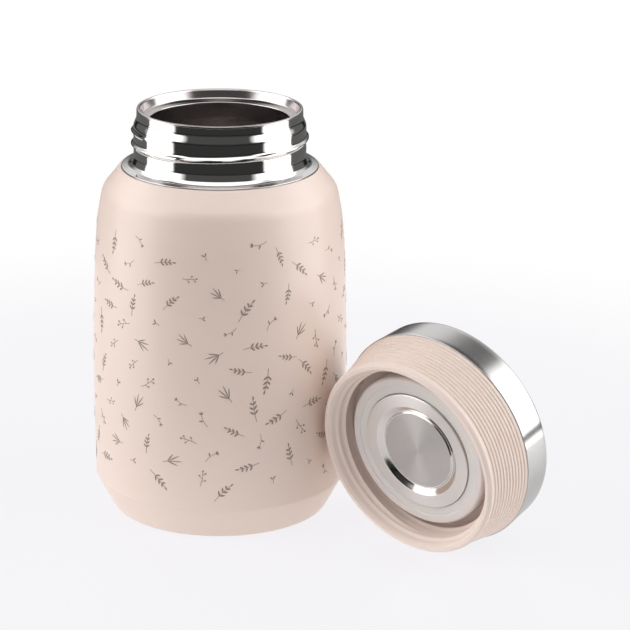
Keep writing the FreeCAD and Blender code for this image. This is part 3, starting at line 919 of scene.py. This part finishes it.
def scatter():
    """Motif k stands at an even step of the height, a golden share of a round further on."""
    draw = np.random.default_rng(SEED)
    motifs = [leafy_twig(), berry_twig(), blade_tuft(), sprout(), leafy_twig(), seed_head()]
    points = []
    faces = []
    count = 0
    for k in range(MOTIF_COUNT):
        height = PRINT_LOW + (PRINT_HIGH - PRINT_LOW) * (k + 0.5) / MOTIF_COUNT
        angle = 2 * math.pi * ((k * GOLDEN) % 1.0) + draw.uniform(-ANGLE_SHAKE, ANGLE_SHAKE)
        turn = draw.uniform(0, 2 * math.pi)
        size = draw.uniform(*MOTIF_SIZES)
        spin = np.array([[math.cos(turn), math.sin(turn)], [-math.sin(turn), math.cos(turn)]])
        motif = motifs[int(draw.integers(len(motifs)))]
        middle = np.concatenate(motif).mean(0)
        for shape in motif:
            flat = facing_out((shape - middle) * size @ spin)
            points.append(wrapped(flat, angle, height))
            faces.append(tuple(range(count, count + len(flat))))
            count += len(flat)
    return np.concatenate(points), faces


# %% [markdown]
# The strokes are flat faces, all in one mesh. A Solidify modifier gives the film its thickness
# inwards, down into the coat, so that no stroke floats above the wall.

# %% Print film
FILM_DEPTH = 0.14


def print_film():
    """One piece with a face for each stroke, and a thickness that goes inwards."""
    points, faces = scatter()
    mesh = bpy.data.meshes.new("print_film")
    mesh.from_pydata(points.tolist(), [], faces)
    piece = bpy.data.objects.new("print_film", mesh)
    bpy.context.collection.objects.link(piece)
    thick = piece.modifiers.new("thickness", "SOLIDIFY")
    thick.thickness = FILM_DEPTH * MM
    thick.offset = -1
    print("print", len(faces), "strokes")
    return piece


film = print_film()
film.data.materials.append(ink)
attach(film, "jar")

# %% [markdown]
# ## The hidden pieces
# The base plate, its cover and the plug's cup keep their simple solids and get the finish of
# what they are. They could be drawn again as well, but little of them shows. The pieces sealed
# inside the walls get plain finishes of their own.

# %% Finishes of the remaining solids
def plain(name, rgb, rough, metallic=0.0):
    """A colour that is up to a tenth darker in places, with a roughness of its own."""
    darker = tuple(0.9 * value for value in rgb)

    def build(paint):
        return {
            "Base Color": paint.blend(noise(paint, 150.0), rgb, darker),
            "Roughness": rough + 0.08 * noise(paint, 300.0),
        }
    return material(name, build, Metallic=metallic)


copper = plain("copper_foil", (0.80, 0.42, 0.28), 0.25, 1.0)
glass_bead = plain("sealing_glass", (0.10, 0.09, 0.08), 0.2)
foam = plain("foam", (0.82, 0.80, 0.74), 0.85)
glue = plain("glue", (0.70, 0.66, 0.56), 0.5)
NODE_FINISH = {
    "outer_base": cream_coat, "base_cover": satin_steel, "sealing_bead": glass_bead,
    "getter": satin_steel, "radiation_foil": copper, "plug_cup": cream_plastic,
    "lid_insulation": foam, "plug_insulation": foam, "cap_adhesive": glue,
}
for node_name, finish in NODE_FINISH.items():
    mesh = frame["nodes"][node_name].data
    mesh.materials.clear()
    mesh.materials.append(finish)

# %% [markdown]
# ## The floor
# The photograph is a studio picture on white, with hardly a shadow. A plain white floor would
# come out grey round the jar, so the camera sees a bleached one: a flat white with only a
# little of the real shading. All other rays meet a pale sheet that glows, which throws light
# up onto the foot. The steel mirrors little of that glow, and nothing of the floor's front
# part, as if it were cut off there. From below the floor is clear.

# %% Floor material
FLOOR_RADIUS = 0.36
WHITE = (1, 1, 1)
FLOOR_PALE = (0.74, 0.74, 0.745)
BLEACHED = (0.93, 0.92, 0.945)
BLEACH = 0.88
FADE_START = 0.5
FADE_END = 0.97
GLOW = 1.15
GLOW_NEAR = (0.18, 0.9)
GLOW_FAR = (0.45, 0.4)
LESS_MIRRORED = 0.8
CUT_START = 0.125
CUT_END = 0.145
CUT_SPAN = 0.25


def floor_material():
    """Surfaces laid over one another by the kind of ray and by the place on the floor: what
    lights and is mirrored, what the camera sees, and where there is no floor."""
    made = bpy.data.materials.new("floor_white")
    made.use_nodes = True
    paint = Paint(made.node_tree)
    seen = paint.node("ShaderNodeLightPath", output="Is Camera Ray")
    mirrored = paint.node("ShaderNodeLightPath", output="Is Glossy Ray")
    place = paint.node("ShaderNodeTexCoord", output="Object")
    reach = paint.node("ShaderNodeVectorMath", {"operation": "LENGTH"}, {0: place},
                       output="Value") / FLOOR_RADIUS
    shaded = paint.node("ShaderNodeBsdfPrincipled", {}, {
        "Base Color": colour(*FLOOR_PALE), "Roughness": 0.22, "Specular IOR Level": 0.5})
    share = paint.ramp(reach, [GLOW_NEAR, GLOW_FAR])
    glowing = paint.over(share * (1 - LESS_MIRRORED * mirrored), shaded, paint.glow(WHITE, GLOW))
    fade = paint.ramp(reach, [(FADE_START, 0.0), (FADE_END, 1.0)])
    bleached = paint.over(BLEACH, shaded, paint.glow(BLEACHED))
    bleached = paint.over(fade, bleached, paint.glow(WHITE))
    forward = paint.part(place, 1) / -CUT_SPAN
    cut = mirrored * paint.ramp(forward, [(CUT_START / CUT_SPAN, 0.0), (CUT_END / CUT_SPAN, 1.0)])
    clear = paint.node("ShaderNodeBsdfTransparent")
    surface = paint.over(cut, paint.over(seen, glowing, bleached), clear)
    from_below = paint.node("ShaderNodeNewGeometry", output="Backfacing")
    surface = paint.over(from_below, surface, clear)
    paint.node("ShaderNodeOutputMaterial", {}, {"Surface": surface})
    return made


# %% [markdown]
# The floor itself is one flat round face under the jar, wide enough to catch the light round
# the object and no wider than the picture needs. It belongs to the stage, not to the object.

# %% Floor
FLOOR_CORNERS = 96
floor_angle = np.linspace(0, 2 * math.pi, FLOOR_CORNERS + 1)[:-1]
floor_rim = np.stack([FLOOR_RADIUS * np.cos(floor_angle), FLOOR_RADIUS * np.sin(floor_angle),
                      0 * floor_angle], -1)
floor_mesh = bpy.data.meshes.new("floor")
floor_mesh.from_pydata(floor_rim.tolist(), [], [tuple(range(len(floor_rim)))])
floor = bpy.data.objects.new("floor", floor_mesh)
bpy.context.collection.objects.link(floor)
floor_mesh.materials.append(floor_material())
print("floor", FLOOR_RADIUS, "m in radius")

# %% [markdown]
# ## The studio's light
# Two tall soft boxes stand to the left and right, and the side behind the camera is dark, which
# is what gives the steel its black middle and white stripes. A wide light hangs overhead in
# front, and black flags stand low down. Lamps could light the object too, but polished steel
# shows every one of them. Here the whole studio is written into the world as a function of
# direction, so that what lights the object is also what it mirrors. The camera sees plain white.

# %% Studio
BOX_LIGHT = 2.9
BACK_LIGHT = 1.0
FRONT_LIGHT = 0.10
TOP_FRONT = 1.9
TOP_REAR = 0.04
DARK = 0.012
DARK_REAR = 0.04
LIGHT_SCALE = 4.0
LOW_EDGES = (0.0, 0.255, 0.30, 0.66, 0.69)
MIDDLE_EDGES = (0.0, 0.14, 0.24, 0.73, 0.80)
HIGH_EDGES = (0.0, 0.34, 0.46)
RISE = (0.58, 0.66)
CLIMB = (0.83, 0.89)
FLAG = (0.44, 0.455, 0.485, 0.50)
FLAG_SHARE = 0.1


def studio(world):
    """Radiance by direction. round_way is half of 1 + y / sqrt(x^2 + y^2): 0 towards the camera
    and 1 at the back. upward is half of 1 + z: 0 straight down and 1 straight up. Three rounds,
    low, middle and high, are blended by upward, and the flag darkens a strip of the low one.
    A ramp holds no value above 1, so the light is divided by LIGHT_SCALE and multiplied back."""
    paint = Paint(world.node_tree)
    way = paint.node("ShaderNodeTexCoord")
    x, y, z = (paint.part(way, index) for index in range(3))
    level = paint.node("ShaderNodeMath", {"operation": "SQRT"}, {0: x * x + y * y})
    round_way = y / level * 0.5 + 0.5
    upward = z * 0.5 + 0.5
    box, back, front, top, rear = (value / LIGHT_SCALE for value in (
        BOX_LIGHT, BACK_LIGHT, FRONT_LIGHT, TOP_FRONT, TOP_REAR))
    low = paint.bands(round_way, LOW_EDGES, (DARK, DARK, box, box, DARK_REAR))
    middle = paint.bands(round_way, MIDDLE_EDGES, (front, front, box, box, back))
    high = paint.bands(round_way, HIGH_EDGES, (top, top, rear))
    flag = paint.bands(upward, FLAG, (1.0, FLAG_SHARE, FLAG_SHARE, 1.0))
    lower = paint.blend(paint.bands(upward, RISE, (0.0, 1.0)), low * flag, middle)
    light = paint.blend(paint.bands(upward, CLIMB, (0.0, 1.0)), lower, high) * LIGHT_SCALE
    camera_ray = paint.node("ShaderNodeLightPath", output="Is Camera Ray")
    seen = paint.node("ShaderNodeBackground", {}, {"Color": colour(*WHITE), "Strength": 1.0})
    lit = paint.node("ShaderNodeBackground", {}, {"Color": colour(*WHITE), "Strength": light})
    paint.node("ShaderNodeOutputWorld", {}, {"Surface": paint.over(camera_ray, lit, seen)})


world = bpy.data.worlds.new("studio")
world.use_nodes = True
bpy.context.scene.world = world
studio(world)
print("studio", len(world.node_tree.nodes), "nodes")
